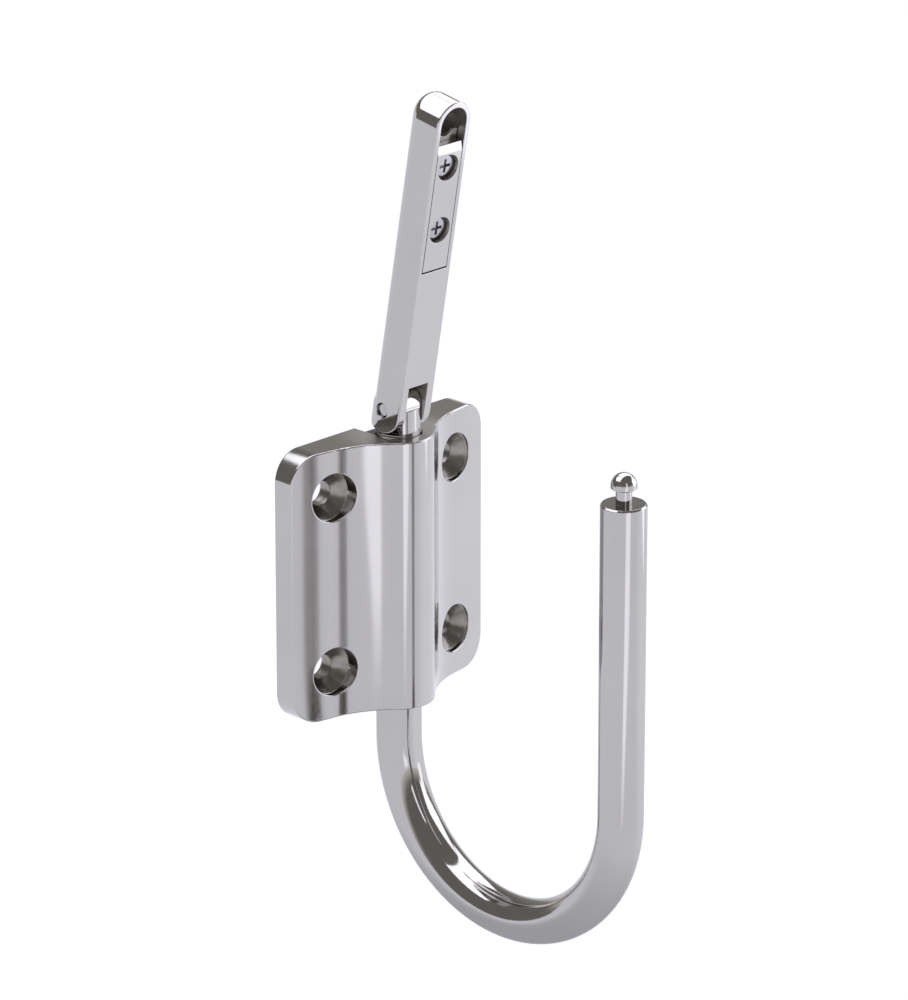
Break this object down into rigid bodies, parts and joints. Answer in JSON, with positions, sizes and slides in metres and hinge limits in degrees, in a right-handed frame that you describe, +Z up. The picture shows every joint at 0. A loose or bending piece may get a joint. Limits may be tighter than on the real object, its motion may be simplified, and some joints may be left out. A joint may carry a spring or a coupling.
{
  "type": "swivel wall hook",
  "caption": "Round-bar J hook that swivels in a screw-on wall plate, with a hinged latch arm that folds down over a headed stud to close the loop.",
  "frame": {"origin": "centre of the four-hole pattern, on the wall face of the plate", "axes": "+Y into the wall, +Z up along the swivel stem, +X to the right seen from the room"},
  "size_m": [0.0694, 0.0959, 0.2238],
  "materials": {
    "plate_steel": "polished stainless steel",
    "bar_steel": "polished stainless steel",
    "arm_steel": "polished stainless steel",
    "block_steel": "polished stainless steel",
    "stud_steel": "polished stainless steel",
    "pin_steel": "plain rolled spring pin",
    "screw_steel": "plain stainless screws",
    "spring_steel": "bare spring strip",
    "keeper_plastic": "black bearing plastic"
  },
  "bodies": {
    "plate": {"wall_plate": "plate_steel", "stem_keeper": "keeper_plastic", "keeper_screw_left": "screw_steel", "keeper_screw_right": "screw_steel"},
    "hook": {"swivel_hook": "bar_steel", "lock_stud": "stud_steel"},
    "arm": {"latch_arm": "arm_steel", "hinge_pin": "pin_steel", "latch_block": "block_steel", "latch_screw_upper": "screw_steel", "latch_screw_lower": "screw_steel", "spring_clip": "spring_steel"}
  },
  "joints": [
    {"name": "hook_swivel", "type": "hinge", "parent": "plate", "child": "hook", "pos_m": [0, -0.0099, 0], "axis": [0, 0, 1], "range_deg": [-90, 90]},
    {"name": "arm_hinge", "type": "hinge", "parent": "hook", "child": "arm", "pos_m": [0, -0.0099, 0.0441], "axis": [1, 0, 0], "range_deg": [-14, 80], "deforming": ["spring_clip"]}
  ]
}
